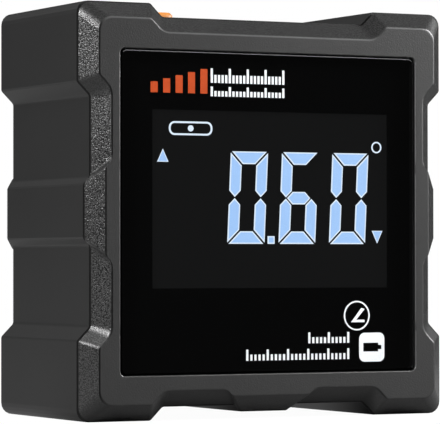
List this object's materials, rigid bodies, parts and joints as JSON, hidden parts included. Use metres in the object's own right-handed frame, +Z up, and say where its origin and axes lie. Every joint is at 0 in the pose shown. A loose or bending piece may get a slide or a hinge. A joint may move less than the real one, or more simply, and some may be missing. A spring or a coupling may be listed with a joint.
{
  "type": "digital angle gauge",
  "caption": "Square digital angle gauge with raised corner bumpers, a glossy window with a lit angle reading, sprung keys on top and bar magnets in each side.",
  "frame": {"origin": "centre of the footprint, on the plane of the bottom bumpers' flats", "axes": "+X to the right seen from the front, -Y out of the display, +Z up"},
  "size_m": [0.06, 0.031, 0.06],
  "materials": {
    "bezel_plastic": "black moulded plastic, coarse grain on the bevels and fine grain on the front face",
    "housing_plastic": "black moulded plastic, smooth matte",
    "gasket_rubber": "soft sealing ring, inside",
    "screw_steel": "plain steel screws, inside",
    "lens_acrylic": "clear glossy window",
    "white_print": "white ink behind the window",
    "orange_print": "orange ink behind the window",
    "mask_film": "black ink film behind the window",
    "tape_adhesive": "adhesive frame, inside",
    "lit_segments": "lit display shapes",
    "display_glass": "dark display glass",
    "rear_glass": "dark display glass, inside",
    "light_guide": "white light guide, inside",
    "frame_plastic": "white frame, inside",
    "strip_rubber": "contact strip, inside",
    "circuit_board": "green lacquered board, inside",
    "chip_resin": "black chip resin, inside",
    "sensor_resin": "dark sensor package, inside",
    "can_steel": "bright can, inside",
    "part_ceramic": "small fired parts, inside",
    "header_plastic": "black pin header, inside",
    "switch_plastic": "black switch body, inside",
    "plunger_plastic": "pale switch plunger, inside",
    "seal_rubber": "grey sealing skirt, inside",
    "orange_key": "orange key cap",
    "dark_key": "black key cap",
    "cell_foil": "foil pouch, inside",
    "tape_foam": "foam tape, inside",
    "wire_cover": "red wire cover, inside",
    "plug_plastic": "white plug, inside",
    "socket_steel": "bright socket shell",
    "tongue_plastic": "black socket tongue",
    "magnet_plate": "nickel-plated bar magnet, inside",
    "cover_rubber": "soft black port cover"
  },
  "bodies": {
    "case": {"front_bezel": "bezel_plastic", "rear_housing": "housing_plastic", "case_gasket": "gasket_rubber", "case_screws": "screw_steel", "window_lens": "lens_acrylic", "white_marks": "white_print", "orange_marks": "orange_print", "window_mask": "mask_film", "window_tape": "tape_adhesive", "lcd_segments": "lit_segments", "lcd_front_glass": "display_glass", "lcd_rear_glass": "rear_glass", "lcd_backlight": "light_guide", "lcd_frame": "frame_plastic", "contact_strip": "strip_rubber", "main_board": "circuit_board", "board_screws": "screw_steel", "controller_chip": "chip_resin", "tilt_sensor": "sensor_resin", "quartz_can": "can_steel", "small_parts": "part_ceramic", "charge_link": "header_plastic", "key_link": "header_plastic", "key_board": "circuit_board", "key_switches": "switch_plastic", "key_seal": "seal_rubber", "battery_cell": "cell_foil", "battery_tape": "tape_foam", "battery_wires": "wire_cover", "battery_plug": "plug_plastic", "charge_board": "circuit_board", "charge_chip": "chip_resin", "charge_socket": "socket_steel", "socket_tongue": "tongue_plastic", "left_magnets": "magnet_plate", "right_magnets": "magnet_plate", "top_magnets": "magnet_plate", "bottom_magnets": "magnet_plate", "usb_cover_anchor": "cover_rubber"},
    "power_key": {"power_button": "orange_key", "power_plunger": "plunger_plastic"},
    "zero_key": {"zero_button": "dark_key", "zero_plunger": "plunger_plastic"},
    "hold_key": {"hold_button": "dark_key", "hold_plunger": "plunger_plastic"},
    "port_flap": {"usb_cover": "cover_rubber"}
  },
  "joints": [
    {"name": "power_press", "type": "slide", "parent": "case", "child": "power_key", "axis": [0, 0, -1], "range_m": [0, 0.0004], "stiffness_N_per_m": 1500, "springref_m": -0.0003},
    {"name": "zero_press", "type": "slide", "parent": "case", "child": "zero_key", "axis": [0, 0, -1], "range_m": [0, 0.0004], "stiffness_N_per_m": 1500, "springref_m": -0.0003},
    {"name": "hold_press", "type": "slide", "parent": "case", "child": "hold_key", "axis": [0, 0, -1], "range_m": [0, 0.0004], "stiffness_N_per_m": 1500, "springref_m": -0.0003},
    {"name": "usb_cover_hinge", "type": "hinge", "parent": "case", "child": "port_flap", "pos_m": [0, 0.0155, 0.0082], "axis": [-1, 0, 0], "range_deg": [0, 110], "stiffness_Nm_per_rad": 0.0008}
  ]
}
